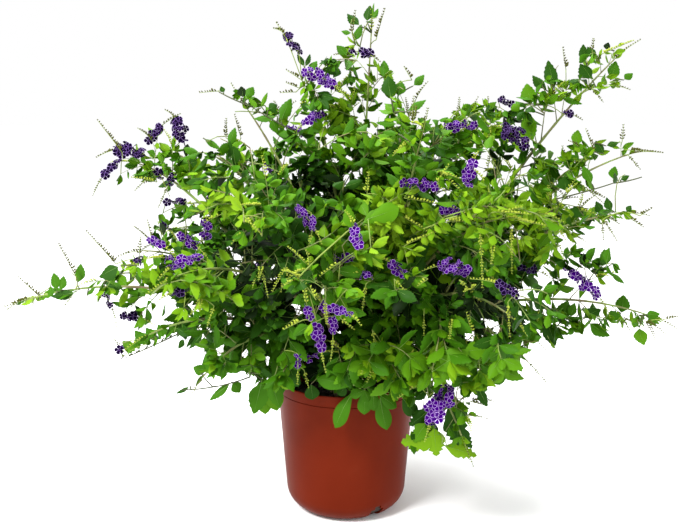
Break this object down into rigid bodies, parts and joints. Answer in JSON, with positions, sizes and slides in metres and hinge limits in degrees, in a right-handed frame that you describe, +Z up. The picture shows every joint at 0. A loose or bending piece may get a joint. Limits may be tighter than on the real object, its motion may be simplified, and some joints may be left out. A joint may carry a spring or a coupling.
{
  "type": "potted duranta shrub",
  "caption": "Flowering duranta shrub with arching, violet-flowered shoots on all sides, standing in a round tapered nursery pot filled with potting mix.",
  "frame": {"origin": "middle of the pot's flat underside, on the ground", "axes": "+Z up, +X to the viewer's right in the picture, +Y away from the viewer"},
  "size_m": [1.1992, 0.8214, 0.9084],
  "materials": {
    "pot_plastic": "semi-gloss terracotta brown plastic",
    "potting_mix": "loose dark bark and peat mix",
    "bark": "thin grey-brown bark, greener towards the tips",
    "foliage": "soft green leaves, lime at the young tips",
    "blossom": "violet petals",
    "petal_edge": "white petal edge",
    "buds": "yellow-green buds and calyces"
  },
  "bodies": {
    "root": {"pot": "pot_plastic", "potting_mix": "potting_mix", "trunk": "bark", "stem_left_spray": "bark", "bough_left_long": "bark", "bough_left_low": "bark", "bough_left_upper": "bark", "stem_right_spray": "bark", "bough_right_long": "bark", "bough_right_upper": "bark", "bough_right_high": "bark", "stem_top_spire": "bark", "bough_top_left_spire": "bark", "bough_top_left": "bark", "bough_top_right": "bark", "stem_front_left_upper": "bark", "bough_front_left_mid": "bark", "bough_front_left_skirt": "bark", "bough_front_mid": "bark", "stem_front_right_upper": "bark", "bough_front_top": "bark", "bough_front_right_mid": "bark", "bough_front_right_skirt": "bark", "bough_front_right_low": "bark", "stem_back_left_upper": "bark", "bough_back_left_mid": "bark", "bough_back_left_skirt": "bark", "stem_back_right_upper": "bark", "bough_back_right_mid": "bark", "bough_back_mid": "bark", "bough_back_right_skirt": "bark", "foliage_left_spray": "foliage", "foliage_left_long": "foliage", "foliage_left_low": "foliage", "foliage_left_upper": "foliage", "foliage_right_spray": "foliage", "foliage_right_long": "foliage", "foliage_right_upper": "foliage", "foliage_right_high": "foliage", "foliage_top_spire": "foliage", "foliage_top_left_spire": "foliage", "foliage_top_left": "foliage", "foliage_top_right": "foliage", "foliage_front_left_upper": "foliage", "foliage_front_left_mid": "foliage", "foliage_front_left_skirt": "foliage", "foliage_front_mid": "foliage", "foliage_front_right_upper": "foliage", "foliage_front_top": "foliage", "foliage_front_right_mid": "foliage", "foliage_front_right_skirt": "foliage", "foliage_front_right_low": "foliage", "foliage_back_left_upper": "foliage", "foliage_back_left_mid": "foliage", "foliage_back_left_skirt": "foliage", "foliage_back_right_upper": "foliage", "foliage_back_right_mid": "foliage", "foliage_back_mid": "foliage", "foliage_back_right_skirt": "foliage"}
  },
  "joints": []
}
